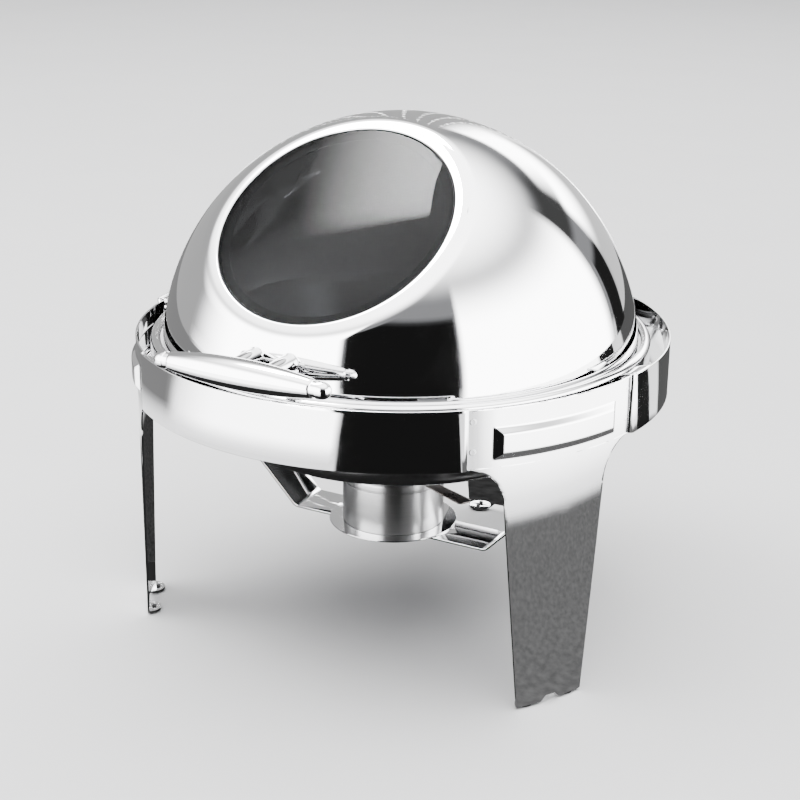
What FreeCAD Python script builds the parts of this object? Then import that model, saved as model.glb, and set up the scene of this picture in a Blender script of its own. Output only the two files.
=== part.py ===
"""Roll top chafer: a round buffet food warmer on three legs, with a cover that rolls back under the pans.

Frame: the origin is on the floor under the ring's axis, +Z is up and -Y is the front.
Lengths are in millimetres.
"""

import FreeCAD
import Part
import math
import os

import Sketcher

SIZES = (
    ("band_radius", 230.0),
    ("band_sheet", 1.2),
    ("band_bottom", 211.0),
    ("band_top", 260.0),
    ("band_half_angle", 39.0),
    ("band_end_turn", 4.0),
    ("tab_width_angle", 7.0),
    ("tab_inset_angle", 4.2),
    ("tab_level_width", 2.7),
    ("leg_radius", 226.0),
    ("leg_sheet", 1.5),
    ("leg_top", 258.0),
    ("leg_top_half_width", 82.0),
    ("leg_neck_half_width", 48.0),
    ("leg_neck_height", 178.0),
    ("leg_flare_radius", 33.0),
    ("leg_foot_half_width", 32.0),
    ("leg_bottom", 2.0),
    ("foot_arch_half_width", 9.0),
    ("foot_arch_height", 4.5),
    ("emboss_half_width", 53.0),
    ("emboss_bottom", 218.0),
    ("emboss_top", 243.0),
    ("emboss_rise", 4.4),
    ("emboss_slope", 5.5),
    ("foot_tab_radius", 11.0),
    ("foot_tab_offset", 20.5),
    ("foot_tab_sheet", 1.5),
    ("pad_radius", 5.4),
    ("pad_peg_radius", 2.0),
    ("pad_peg_height", 3.0),
    ("ring_bead_centre", 209.3),
    ("ring_bead_radius", 4.2),
    ("ring_bead_height", 253.5),
    ("ring_outer_radius", 213.5),
    ("ring_sheet", 1.2),
    ("ring_bottom", 213.0),
    ("pivot_height", 236.0),
    ("pivot_plate_side", 36.0),
    ("pivot_plate_thickness", 2.0),
    ("pin_radius", 4.0),
    ("pin_head_radius", 7.5),
    ("pin_head_height", 4.0),
    ("pin_clearance", 0.05),
    ("nut_circumradius", 8.0),
    ("nut_height", 6.0),
    ("pin_end_beyond_nut", 1.5),
    ("cover_radius", 204.0),
    ("cover_sheet", 1.0),
    ("cover_skirt", 14.0),
    ("bush_flange_radius", 9.0),
    ("bush_body_radius", 6.5),
    ("bush_flange_thickness", 2.0),
    ("facet_distance", 171.5),
    ("facet_tilt", 39.0),
    ("glass_radius", 97.6),
    ("glass_thickness", 3.7),
    ("seal_outer_radius", 98.6),
    ("seal_inner_radius", 89.5),
    ("seal_thickness", 0.8),
    ("handle_reach", 240.0),
    ("handle_height", 281.0),
    ("handle_half_length", 75.5),
    ("handle_middle_radius", 12.2),
    ("handle_end_radius", 5.2),
    ("post_offset", 15.5),
    ("post_foot_radius", 7.2),
    ("post_head_radius", 6.0),
    ("screw_radius", 2.5),
    ("screw_head_radius", 5.0),
    ("screw_head_height", 3.0),
    ("screw_shank_length", 20.0),
    ("screw_seat_gap", 2.0),
    ("edge_chamfer", 1.2),
    ("strap_width", 43.0),
    ("strap_thickness", 2.0),
    ("strap_bottom", 75.0),
    ("strap_flat_half", 97.0),
    ("strap_knee_reach", 165.0),
    ("strap_knee_height", 145.0),
    ("strap_side_reach", 195.0),
    ("strap_side_height", 200.0),
    ("carrier_top", 262.0),
    ("carrier_height", 4.0),
    ("carrier_inner_radius", 156.0),
    ("carrier_outer_radius", 162.0),
    ("pan_sheet", 0.8),
    ("seat_gap", 0.3),
    ("water_pan_bottom", 165.0),
    ("water_pan_wall_radius", 154.5),
    ("water_pan_floor_radius", 136.0),
    ("water_pan_corner", 14.0),
    ("food_pan_bottom", 207.0),
    ("food_pan_wall_radius", 149.0),
    ("food_pan_floor_radius", 134.0),
    ("food_pan_corner", 10.0),
    ("food_pan_rim_radius", 160.0),
    ("food_pan_bead", 2.0),
    ("burner_offset", -6.0),
    ("plate_radius", 57.0),
    ("plate_sheet", 1.2),
    ("plate_lip_radius", 41.0),
    ("plate_lip_height", 2.4),
    ("plate_rivet_offset", 26.0),
    ("cup_radius", 45.0),
    ("cup_sheet", 0.8),
    ("cup_height", 38.0),
    ("cup_floor_rise", 3.2),
    ("cap_height", 9.0),
    ("cap_groove", 1.4),
    ("cap_opening_radius", 26.0),
    ("damper_radius", 30.0),
    ("damper_sheet", 1.2),
    ("damper_pivot_reach", 36.0),
    ("damper_handle_reach", 104.0),
    ("damper_handle_width", 14.0),
    ("damper_azimuth", -24.0),
    ("stop_azimuth", 32.0),
    ("stop_width", 16.0),
    ("stop_sheet", 1.5),
    ("stop_overlap", 5.0),
    ("stop_pad_width", 12.8),
    ("stop_pad_thickness", 3.5),
)

LEG_AZIMUTHS = (("front_right", 62.5), ("front_left", -57.5), ("rear", 182.5))
BAND_AZIMUTHS = (("front", 2.5), ("right", 122.5), ("left", -117.5))
SIDES = (("left", -1), ("right", 1))
UP = FreeCAD.Vector(0, 0, 1)
RIGHT = FreeCAD.Vector(1, 0, 0)
MARGIN = 5.0  # how far a cutting tool runs past what it cuts
SIDE_BORE_START = 170.0  # inside everything on a side pivot, in from where its bores are cut
SIDE_BORE_LENGTH = 60.0


class Size:
    """A length or an angle that carries its number and its formula in the sheet."""

    def __init__(self, text, value):
        self.text = text
        self.value = value

    def combine(self, sign, other, value):
        return Size(f"({self.text} {sign} {other.text})", value)

    def __add__(self, other):
        other = as_size(other)
        return self.combine("+", other, self.value + other.value)

    def __sub__(self, other):
        other = as_size(other)
        return self.combine("-", other, self.value - other.value)

    def __mul__(self, other):
        other = as_size(other)
        return self.combine("*", other, self.value * other.value)

    def __truediv__(self, other):
        other = as_size(other)
        return self.combine("/", other, self.value / other.value)

    def __neg__(self):
        return Size(f"(0 - {self.text})", -self.value)


def as_size(number):
    """A plain number becomes a size whose formula is the number."""
    if isinstance(number, Size):
        return number
    return Size(f"({float(number)})", float(number))


def root(size):
    """The square root of a size."""
    return Size(f"sqrt({size.text})", math.sqrt(size.value))


doc = FreeCAD.newDocument("roll_top_chafer")
sheet = doc.addObject("Spreadsheet::Sheet", "Sizes")
size_of = {}
for row, (alias, number) in enumerate(SIZES, start=1):
    sheet.set(f"A{row}", alias)
    sheet.set(f"B{row}", str(number))
    sheet.setAlias(f"B{row}", alias)
    size_of[alias] = Size(f"Sizes.{alias}", number)
doc.recompute()

pieces = []


def dim(alias):
    """The named driving dimension."""
    return size_of[alias]


def square(size):
    """A size times itself."""
    return size * size


def piece(label, shape_object):
    """Name a finished sub-part and put it on the list of files to write."""
    shape_object.Label = label
    pieces.append(shape_object)
    return shape_object


def place(shape_object, x=0, y=0, z=0, axis=UP, angle=0.0):
    """Put an object at a point, turned about an axis; the point stays tied to the sheet."""
    point = [as_size(value) for value in (x, y, z)]
    rotation = FreeCAD.Rotation(axis, angle)
    base = FreeCAD.Vector(*[value.value for value in point])
    shape_object.Placement = FreeCAD.Placement(base, rotation)
    for letter, value in zip("xyz", point):
        if value.text != "(0.0)":
            shape_object.setExpression(f"Placement.Base.{letter}", value.text)
    return shape_object


def primitive(kind, sizes, **where):
    """A Part primitive whose sizes are tied to the sheet."""
    shape_object = doc.addObject(f"Part::{kind}", kind)
    for name, value in sizes.items():
        value = as_size(value)
        setattr(shape_object, name, value.value)
        shape_object.setExpression(name, value.text)
    return place(shape_object, **where)


def cylinder(radius, height, **where):
    return primitive("Cylinder", {"Radius": radius, "Height": height}, **where)


def box(length, width, height, **where):
    return primitive("Box", {"Length": length, "Width": width, "Height": height}, **where)


def sphere(radius, **where):
    return primitive("Sphere", {"Radius": radius}, **where)


def cut(base, *tools):
    """The base with every tool taken away."""
    result = doc.addObject("Part::Cut", "Cut")
    result.Base = base
    result.Tool = tools[0] if len(tools) == 1 else fuse(*tools)
    return result


def fuse(*shapes):
    result = doc.addObject("Part::MultiFuse", "Fuse")
    result.Shapes = list(shapes)
    result.Refine = False
    return result


def common(*shapes):
    result = doc.addObject("Part::MultiCommon", "Common")
    result.Shapes = list(shapes)
    return result


def compound(*shapes):
    result = doc.addObject("Part::Compound", "Group")
    result.Links = list(shapes)
    return result


def tube(outer, inner, height, **where):
    """A plain tube standing along its own Z axis."""
    outside = cylinder(outer, height)
    inside = cylinder(inner, as_size(height) + 2 * MARGIN, z=-MARGIN)
    return place(cut(outside, inside), **where)


def draw(sketch, corners, bulges=None):
    """Draw a closed outline through corners, each tied to the sheet.

    bulges gives, for the side that starts at a corner, the arc's radius and the side it swells to.
    """
    bulges = bulges or {}
    count = len(corners)
    points = [FreeCAD.Vector(x.value, y.value, 0) for x, y in corners]
    for index in range(count):
        start, end = points[index], points[(index + 1) % count]
        if index in bulges:
            radius, swell = bulges[index]
            sketch.addGeometry(arc_between(start, end, radius.value, swell), False)
        else:
            sketch.addGeometry(Part.LineSegment(start, end), False)
    for index, (x, y) in enumerate(corners):
        following = (index + 1) % count
        start_end = (index, arc_start(sketch, index, points[index]))
        before = (index - 1) % count
        before_end = (before, 3 - arc_start(sketch, before, points[before]))
        sketch.addConstraint(Sketcher.Constraint("Coincident", *before_end, *start_end))
        for kind, value in (("DistanceX", x), ("DistanceY", y)):
            if abs(value.value) < 1e-9:
                target = -2 if kind == "DistanceX" else -1
                sketch.addConstraint(Sketcher.Constraint("PointOnObject", *start_end, target))
            else:
                tie = Sketcher.Constraint(kind, -1, 1, *start_end, value.value)
                number = sketch.addConstraint(tie)
                sketch.setExpression(f"Constraints[{number}]", value.text)
    for index, (radius, swell) in bulges.items():
        number = sketch.addConstraint(Sketcher.Constraint("Radius", index, radius.value))
        sketch.setExpression(f"Constraints[{number}]", radius.text)


def arc_between(start, end, radius, swell):
    """The short arc from start to end, always anticlockwise; swell is 1 or -1 for the side it bows to."""
    half = (end - start) * 0.5
    height = math.sqrt(radius**2 - half.Length**2)
    side = FreeCAD.Vector(-half.y, half.x, 0).normalize() * swell
    middle = start + half + side * (radius - height)
    if swell > 0:
        return Part.Arc(end, middle, start)
    return Part.Arc(start, middle, end)


def arc_start(sketch, index, point):
    """Which end of an edge, 1 or 2, lies on the point."""
    edge = sketch.Geometry[index]
    return 1 if edge.StartPoint.distanceToPoint(point) < edge.EndPoint.distanceToPoint(point) else 2


def turned(corners, bulges=None, **where):
    """A PartDesign body turned about its own Z axis from an outline of radius and height."""
    body = doc.addObject("PartDesign::Body", "Turned")
    sketch = body.newObject("Sketcher::SketchObject", "Outline")
    plane = next(item for item in body.Origin.OriginFeatures if item.Role == "XZ_Plane")
    sketch.AttachmentSupport = [(plane, "")]
    sketch.MapMode = "FlatFace"
    draw(sketch, [(as_size(x), as_size(y)) for x, y in corners], bulges)
    doc.recompute()
    revolution = body.newObject("PartDesign::Revolution", "Revolution")
    revolution.Profile = sketch
    revolution.ReferenceAxis = (sketch, ["V_Axis"])
    revolution.Angle = 360.0
    body.Tip = revolution
    return place(body, **where)


def extruded(corners, depth, bulges=None, **where):
    """A flat outline in X and Z, extruded the given depth both ways along Y."""
    sketch = doc.addObject("Sketcher::SketchObject", "Outline")
    sketch.Placement = FreeCAD.Placement(FreeCAD.Vector(), FreeCAD.Rotation(RIGHT, 90))
    draw(sketch, [(as_size(x), as_size(y)) for x, y in corners], bulges)
    solid = doc.addObject("Part::Extrusion", "Extrusion")
    solid.Base = sketch
    solid.DirMode = "Custom"
    solid.Dir = FreeCAD.Vector(0, 1, 0)
    solid.Solid = True
    solid.Symmetric = True
    doubled = as_size(depth) * 2
    solid.LengthFwd = doubled.value
    solid.setExpression("LengthFwd", doubled.text)
    return place(solid, **where)


# ---------------------------------------------------------------- stand: bands, legs and feet


def band(name, azimuth):
    """One third of the outer band, its ends turned in to the legs and two tabs to the inner ring."""
    height = dim("band_top") - dim("band_bottom")
    outside = primitive(
        "Cylinder",
        {"Radius": dim("band_radius"), "Height": height, "Angle": dim("band_half_angle") * 2},
        z=dim("band_bottom"),
        angle=-90 - dim("band_half_angle").value,
    )
    inside = cylinder(
        dim("band_radius") - dim("band_sheet"), height + 2 * MARGIN, z=dim("band_bottom") - MARGIN
    )
    parts = [cut(outside, inside)]
    for side in (-1, 1):
        end_angle = -90 + side * dim("band_half_angle").value
        parts.append(band_end(end_angle, side, height))
        parts.append(ring_tab(end_angle - side * dim("tab_inset_angle").value))
    piece(f"band_{name}", place(fuse(*parts), angle=azimuth))


def band_end(angle, side, height):
    """The quarter turn at an end of the band."""
    turn = dim("band_end_turn")
    reach = dim("band_radius") - turn
    first = angle if side > 0 else angle - 90
    cosine = math.cos(math.radians(angle))
    sine = math.sin(math.radians(angle))
    where = {"x": reach * cosine, "y": reach * sine, "z": dim("band_bottom"), "angle": first}
    outside = primitive("Cylinder", {"Radius": turn, "Height": height, "Angle": 90.0}, **where)
    inside = cylinder(turn - dim("band_sheet"), height, **where)
    return cut(outside, inside)


def ring_tab(angle):
    """A tab that slopes from the band's upper edge down to the inner ring's bead."""
    low, high = dim("ring_outer_radius"), dim("band_radius") - dim("band_sheet") / 2
    width = dim("tab_level_width")
    cones = []
    for inset in (as_size(0), width):
        sizes = {
            "Radius1": low + width - inset,
            "Radius2": high - inset,
            "Height": dim("band_top") - dim("ring_bead_height"),
            "Angle": dim("tab_width_angle"),
        }
        first = angle - dim("tab_width_angle").value / 2
        cones.append(primitive("Cone", sizes, z=dim("ring_bead_height"), angle=first))
    return cut(*cones)


def leg_outline():
    """Corners and arcs of the leg as seen from the front, with the flare, the taper and the foot arch."""
    top, neck = dim("leg_top"), dim("leg_neck_height")
    flare = dim("leg_flare_radius")
    arch_top = dim("leg_bottom") + dim("foot_arch_height")
    arch_shoulder = dim("foot_arch_half_width") - dim("foot_arch_height")
    right = [
        (dim("leg_top_half_width"), top),
        (dim("leg_top_half_width"), neck + flare),
        (dim("leg_neck_half_width") + flare, neck + flare),
        (dim("leg_neck_half_width"), neck),
        (dim("leg_foot_half_width"), dim("leg_bottom")),
        (dim("foot_arch_half_width"), dim("leg_bottom")),
        (arch_shoulder, arch_top),
    ]
    left = [(-x, z) for x, z in reversed(right)]
    bulges = {2: (flare, -1), 10: (flare, -1)}
    return right + left, bulges


def leg(name, azimuth):
    """A leg pressed from one curved sheet, with a raised panel and two foot tabs bent inwards."""
    corners, bulges = leg_outline()
    blank = extruded(corners, dim("leg_radius") / 2, bulges, y=-dim("leg_radius") * 0.6)
    radius = dim("leg_radius")
    curved = tube(radius, radius - dim("leg_sheet"), dim("leg_top") + MARGIN)
    sheet_part = common(curved, blank)
    raised = emboss(dim("emboss_rise"), as_size(0))
    hollow = emboss(dim("emboss_rise") - dim("leg_sheet"), dim("leg_sheet"))
    tabs = []
    holes = []
    for side in (-1, 1):
        centre = {"x": dim("foot_tab_offset") * side, "y": foot_tab_centre(), "z": dim("leg_bottom")}
        tabs.append(cylinder(dim("foot_tab_radius"), dim("foot_tab_sheet"), **centre))
        hole_radius = dim("pad_peg_radius") + dim("pin_clearance")
        hole_where = {**centre, "y": foot_pad_centre(), "z": dim("leg_bottom") - MARGIN}
        holes.append(cylinder(hole_radius, 3 * MARGIN, **hole_where))
    feet = common(fuse(*tabs), cylinder(radius - dim("leg_sheet") / 2, dim("leg_neck_height")))
    pressed = cut(fuse(sheet_part, raised), hollow)
    piece(f"leg_{name}", place(cut(fuse(pressed, feet), *holes), angle=azimuth))


def foot_tab_centre():
    """The half-round foot tab is centred on the inside of the leg's sheet."""
    return -(dim("leg_radius") - dim("leg_sheet"))


def foot_pad_centre():
    """The pad sits in the middle of the tab, just inside the leg."""
    return foot_tab_centre() + dim("foot_tab_radius") * 0.5


def emboss(rise, inset):
    """The raised panel of a leg: a frustum with sloped sides and a curved face."""
    slope = dim("emboss_slope")
    half = dim("emboss_half_width") - inset
    low, high = dim("emboss_bottom") + inset, dim("emboss_top") - inset
    base_radius = dim("leg_radius") - dim("leg_sheet") - 2 * MARGIN
    frustum = primitive(
        "Wedge",
        {
            "Xmin": -half - slope,
            "Xmax": half + slope,
            "X2min": -half,
            "X2max": half,
            "Ymin": base_radius,
            "Ymax": dim("leg_radius") + rise + MARGIN,
            "Zmin": low,
            "Zmax": high,
            "Z2min": low + slope,
            "Z2max": high - slope,
        },
        angle=180.0,
    )
    face = cylinder(dim("leg_radius") + rise, dim("leg_top"))
    back = cylinder(dim("leg_radius") - dim("leg_sheet") * 0.9, dim("leg_top") + MARGIN)
    if inset.value:
        back = cylinder(base_radius + MARGIN, dim("leg_top") + MARGIN)
    return cut(common(frustum, face), back)


def foot_pads(name, azimuth):
    """Two rubber pads under one leg, each with a peg through its foot tab."""
    pads = []
    for side in (-1, 1):
        x, y = dim("foot_tab_offset") * side, foot_pad_centre()
        pad = cylinder(dim("pad_radius"), dim("leg_bottom"), x=x, y=y)
        peg = cylinder(dim("pad_peg_radius"), dim("pad_peg_height"), x=x, y=y, z=dim("leg_bottom"))
        pads.append(fuse(pad, peg))
    piece(f"foot_pads_{name}", place(compound(*pads), angle=azimuth))


def inner_ring():
    """The rolled bead that the cover rolls inside, and the skirt under it."""
    outer = dim("ring_outer_radius")
    bead = primitive(
        "Torus",
        {"Radius1": dim("ring_bead_centre"), "Radius2": dim("ring_bead_radius")},
        z=dim("ring_bead_height"),
    )
    height = dim("ring_bead_height") - dim("ring_bottom")
    skirt = tube(outer, outer - dim("ring_sheet"), height, z=dim("ring_bottom"))
    holes = [side_bore(dim("pin_radius") + dim("pin_clearance"), side) for side in (-1, 1)]
    piece("inner_ring", cut(fuse(skirt, bead), *holes))


def side_bore(radius, side):
    """A cylinder on the cover's pivot axis that cuts everything on the left or right side."""
    where = {"z": dim("pivot_height"), "axis": FreeCAD.Vector(0, 1, 0), "angle": 90.0 * side}
    return cylinder(radius, SIDE_BORE_LENGTH, x=SIDE_BORE_START * side, **where)


def cross_turned(corners, side, bulges=None):
    """A turned piece on the cover's pivot axis; its heights are distances from the middle plane."""
    where = {"z": dim("pivot_height"), "axis": FreeCAD.Vector(0, 1, 0), "angle": 90.0 * side}
    return turned(corners, bulges, **where)


# ---------------------------------------------------------------- pivots


def pivot(name, side):
    """Plate, pin, washers and nut of one side pivot, from the ring inwards to the strap's arm."""
    skirt_face = dim("ring_outer_radius")
    plate_face = skirt_face + dim("pivot_plate_thickness")
    plate_side = dim("pivot_plate_side")
    plate_box = box(
        dim("pivot_plate_thickness") * 2,
        plate_side,
        plate_side,
        x=skirt_face - dim("pivot_plate_thickness"),
        y=-plate_side / 2,
        z=dim("pivot_height") - plate_side * 0.6,
    )
    bore = side_bore(dim("pin_radius") + dim("pin_clearance"), 1)
    plate = cut(plate_box, cylinder(skirt_face, dim("leg_top") + MARGIN), bore)
    piece(f"pivot_plate_{name}", place(plate, angle=0.0 if side > 0 else 180.0))

    arm_inside = dim("strap_side_reach") - dim("strap_thickness") / 2
    arm_outside = dim("strap_side_reach") + dim("strap_thickness") / 2
    shaft, head = dim("pin_radius"), dim("pin_head_radius")
    pin_end = arm_inside - dim("nut_height") - dim("pin_end_beyond_nut")
    head_end = plate_face + dim("pin_head_height")
    chamfer = dim("edge_chamfer")
    pin_outline = [
        (0, pin_end),
        (shaft - chamfer, pin_end),
        (shaft, pin_end + chamfer),
        (shaft, plate_face),
        (head, plate_face),
        (head, head_end - chamfer),
        (head - chamfer, head_end),
        (0, head_end),
    ]
    piece(f"pivot_pin_{name}", cross_turned(pin_outline, side))

    nut = primitive(
        "Prism",
        {"Circumradius": dim("nut_circumradius"), "Height": dim("nut_height")},
        x=arm_inside * side,
        z=dim("pivot_height"),
        axis=FreeCAD.Vector(0, 1, 0),
        angle=-90.0 * side,
    )
    nut.Polygon = 6
    piece(f"pivot_nut_{name}", cut(nut, side_bore(shaft, side)))

    bore_radius = shaft + dim("pin_clearance")
    flange = dim("bush_flange_radius")
    cover_face = dim("cover_radius")
    bush_outer = cover_face + dim("bush_flange_thickness")
    shell_inside = root(square(dim("cover_radius") - dim("cover_sheet")) - square(flange)) - 0.1
    bush_inner = shell_inside - dim("bush_flange_thickness")
    bush_outline = [
        (bore_radius, bush_inner),
        (flange, bush_inner),
        (flange, shell_inside),
        (dim("bush_body_radius"), shell_inside),
        (dim("bush_body_radius"), cover_face),
        (flange, cover_face),
        (flange, bush_outer),
        (bore_radius, bush_outer),
    ]
    piece(f"cover_bush_{name}", cross_turned(bush_outline, side))

    gap = dim("seat_gap")
    inner_outline = washer_outline(bore_radius, flange - 1, arm_outside, bush_inner - gap)
    piece(f"inner_spacer_{name}", cross_turned(inner_outline, side))
    washer_end = root(square(skirt_face - dim("ring_sheet")) - square(flange)) - 0.05
    outer_outline = washer_outline(bore_radius, flange, bush_outer + gap, washer_end)
    piece(f"outer_washer_{name}", cross_turned(outer_outline, side))


def washer_outline(inner, outer, start, end):
    """A washer's half section between two distances from the middle plane."""
    return [(inner, start), (outer, start), (outer, end), (inner, end)]


# ---------------------------------------------------------------- strap, pan carrier and stops


def burner_strap():
    """One polished strip: flat under the burner, then up both sides to the pivots."""
    half = dim("strap_thickness") / 2
    level = dim("strap_bottom") + half
    rise = [
        (dim("strap_side_reach"), dim("carrier_top") - dim("carrier_height")),
        (dim("strap_side_reach"), dim("strap_side_height")),
        (dim("strap_knee_reach"), dim("strap_knee_height")),
        (dim("strap_flat_half"), level),
    ]
    route = [(-x, z) for x, z in rise] + list(reversed(rise))
    path = doc.addObject("Sketcher::SketchObject", "StrapPath")
    path.Placement = FreeCAD.Placement(FreeCAD.Vector(), FreeCAD.Rotation(RIGHT, 90))
    points = [FreeCAD.Vector(x.value, z.value, 0) for x, z in route]
    for start, end in zip(points, points[1:]):
        path.addGeometry(Part.LineSegment(start, end), False)
    for index in range(len(points) - 2):
        path.addConstraint(Sketcher.Constraint("Coincident", index, 2, index + 1, 1))
    for index, (x, z) in enumerate(route):
        edge, end = (index, 1) if index < len(route) - 1 else (index - 1, 2)
        for kind, value in (("DistanceX", x), ("DistanceY", z)):
            tie = path.addConstraint(Sketcher.Constraint(kind, -1, 1, edge, end, value.value))
            path.setExpression(f"Constraints[{tie}]", value.text)
    section = primitive(
        "Plane",
        {"Length": dim("strap_thickness"), "Width": dim("strap_width")},
        x=-dim("strap_side_reach") - half,
        y=-dim("strap_width") / 2,
        z=rise[0][1],
    )
    sweep = doc.addObject("Part::Sweep", "StrapSweep")
    sweep.Sections = [section]
    sweep.Spine = (path, [f"Edge{number}" for number in range(1, len(route))])
    sweep.Solid = True
    sweep.Transition = "Right corner"
    holes = []
    for side in (-1, 1):
        holes.append(side_bore(dim("pin_radius") + dim("pin_clearance"), side))
        holes.append(rivet_hole(side))
    piece("burner_strap", cut(sweep, *holes))


def rivet_x(side):
    return dim("burner_offset") + dim("plate_rivet_offset") * side


def rivet_hole(side):
    height = dim("strap_thickness") + dim("plate_sheet") + 2 * MARGIN
    return cylinder(dim("screw_radius"), height, x=rivet_x(side), z=dim("strap_bottom") - MARGIN)


def pan_carrier():
    """The ring that the water pan hangs in, with an ear to each arm of the strap."""
    base = dim("carrier_top") - dim("carrier_height")
    ring = tube(dim("carrier_outer_radius"), dim("carrier_inner_radius"), dim("carrier_height"), z=base)
    parts = [ring]
    ear_start = (dim("carrier_inner_radius") + dim("carrier_outer_radius")) / 2
    ear_length = dim("strap_side_reach") + dim("strap_thickness") / 2 - ear_start
    for side in (-1, 1):
        ear = box(
            ear_length,
            dim("strap_width"),
            dim("strap_thickness"),
            x=ear_start if side > 0 else -ear_start - ear_length,
            y=-dim("strap_width") / 2,
            z=base,
        )
        parts.append(ear)
    piece("pan_carrier", fuse(*parts))


def closed_stops():
    """Two small shelves on the ring's skirt, with rubber pads that the closed cover rests on."""
    inside = dim("ring_outer_radius") - dim("ring_sheet")
    pad_top = dim("pivot_height") - dim("cover_skirt") - dim("seat_gap")
    shelf_top = pad_top - dim("stop_pad_thickness")
    shelf_reach = dim("cover_radius") - dim("stop_overlap")
    width = dim("stop_width")
    shelves, pads = [], []
    for side in (-1, 1):
        turn = dim("stop_azimuth").value * side
        shelf = box(
            width,
            inside - shelf_reach + MARGIN,
            dim("stop_sheet"),
            x=-width / 2,
            y=-inside - MARGIN,
            z=shelf_top - dim("stop_sheet"),
        )
        trimmed = common(shelf, cylinder(inside, dim("leg_top")))
        shelves.append(place(trimmed, angle=turn))
        pad = box(
            dim("stop_pad_width"),
            dim("stop_pad_thickness") * 2,
            dim("stop_pad_thickness"),
            x=-dim("stop_pad_width") / 2,
            y=-dim("cover_radius") - dim("stop_overlap") / 2,
            z=shelf_top,
        )
        pads.append(place(compound(pad), angle=turn))
    piece("stop_shelves", compound(*shelves))
    piece("stop_pads", compound(*pads))


# ---------------------------------------------------------------- pans


def water_pan():
    """A deep round pan whose flange hangs on the carrier."""
    metal = dim("pan_sheet")
    bottom = dim("water_pan_bottom")
    floor = dim("water_pan_floor_radius")
    corner = dim("water_pan_corner")
    wall = dim("water_pan_wall_radius")
    flange_base = dim("carrier_top") + dim("seat_gap")
    flange_end = dim("carrier_outer_radius")
    outline = [
        (0, bottom),
        (floor, bottom),
        (floor + corner, bottom + corner),
        (wall, flange_base),
        (flange_end, flange_base),
        (flange_end, flange_base + metal),
        (wall - metal, flange_base + metal),
        (floor + corner - metal, bottom + corner),
        (floor, bottom + metal),
        (0, bottom + metal),
    ]
    bulges = {1: (corner, -1), 7: (corner - metal, 1)}
    piece("water_pan", turned(outline, bulges))


def food_pan():
    """The food pan, hanging inside the water pan by a flange with a rolled bead."""
    metal = dim("pan_sheet")
    bottom = dim("food_pan_bottom")
    floor = dim("food_pan_floor_radius")
    corner = dim("food_pan_corner")
    wall = dim("food_pan_wall_radius")
    flange_base = dim("carrier_top") + dim("seat_gap") * 2 + metal
    rim = dim("food_pan_rim_radius")
    outline = [
        (0, bottom),
        (floor, bottom),
        (floor + corner, bottom + corner),
        (wall, flange_base),
        (rim, flange_base),
        (rim, flange_base + metal),
        (wall - metal, flange_base + metal),
        (floor + corner - metal, bottom + corner),
        (floor, bottom + metal),
        (0, bottom + metal),
    ]
    bulges = {1: (corner, -1), 7: (corner - metal, 1)}
    pan = turned(outline, bulges)
    bead = primitive(
        "Torus",
        {"Radius1": rim - dim("food_pan_bead"), "Radius2": dim("food_pan_bead")},
        z=flange_base + dim("food_pan_bead"),
    )
    piece("food_pan", fuse(pan, bead))


# ---------------------------------------------------------------- burner


def burner_plate():
    """The flat disc on the strap, with a low lip that keeps the fuel cup in place."""
    base = dim("strap_bottom") + dim("strap_thickness")
    metal = dim("plate_sheet")
    lip = dim("plate_lip_radius")
    outline = [
        (0, base),
        (dim("plate_radius"), base),
        (dim("plate_radius"), base + metal),
        (lip, base + metal),
        (lip, base + metal + dim("plate_lip_height")),
        (lip - metal, base + metal + dim("plate_lip_height")),
        (lip - metal, base + metal),
        (0, base + metal),
    ]
    disc = turned(outline, x=dim("burner_offset"))
    piece("burner_plate", cut(disc, rivet_hole(-1), rivet_hole(1)))


def burner_rivets():
    """Two low rivets that hold the plate to the strap."""
    radius, head = dim("screw_radius"), dim("screw_radius") * 1.8
    low = dim("strap_bottom")
    high = low + dim("strap_thickness") + dim("plate_sheet")
    outline = [
        (0, low - 1),
        (head * 0.8, low - 1),
        (head, low),
        (radius, low),
        (radius, high),
        (head, high),
        (head * 0.8, high + 1),
        (0, high + 1),
    ]
    rivets = [turned(outline, x=rivet_x(side)) for side in (-1, 1)]
    piece("burner_rivets", compound(*rivets))


def cup_base():
    """The height at which the fuel cup stands on its plate."""
    return dim("strap_bottom") + dim("strap_thickness") + dim("plate_sheet") + dim("seat_gap")


def fuel_cup():
    """A drawn cup with a raised floor."""
    base = cup_base()
    metal = dim("cup_sheet")
    radius = dim("cup_radius")
    top = base + dim("cup_height")
    floor = base + dim("cup_floor_rise")
    outline = [
        (0, floor),
        (radius - metal, floor),
        (radius - metal, base),
        (radius, base),
        (radius, top),
        (radius - metal, top),
        (radius - metal, floor + metal),
        (0, floor + metal),
    ]
    piece("fuel_cup", turned(outline, x=dim("burner_offset")))


def cup_cap():
    """The cap on the cup: a rolled rim over a narrow groove, and a flat top with a round opening."""
    base = cup_base() + dim("cup_height")
    metal = dim("cup_sheet")
    groove = dim("cap_groove")
    radius = dim("cup_radius")
    top = base + dim("cap_height")
    shoulder = dim("cap_height") / 3
    outline = [
        (radius - groove - metal, base),
        (radius - groove, base),
        (radius - groove, base + groove),
        (radius, base + groove),
        (radius, top - shoulder),
        (radius - shoulder, top),
        (dim("cap_opening_radius"), top),
        (dim("cap_opening_radius"), top - metal),
        (radius - shoulder - metal, top - metal),
        (radius - metal, top - shoulder - metal),
        (radius - metal, base + groove + metal),
        (radius - groove - metal, base + groove + metal),
    ]
    bulges = {4: (shoulder, -1), 8: (shoulder, 1)}
    cap = turned(outline, bulges, x=dim("burner_offset"))
    piece("cup_cap", cut(cap, damper_pin_hole()))


def damper_top():
    """The height of the cap's top face, on which the damper lies."""
    return cup_base() + dim("cup_height") + dim("cap_height")


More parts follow.
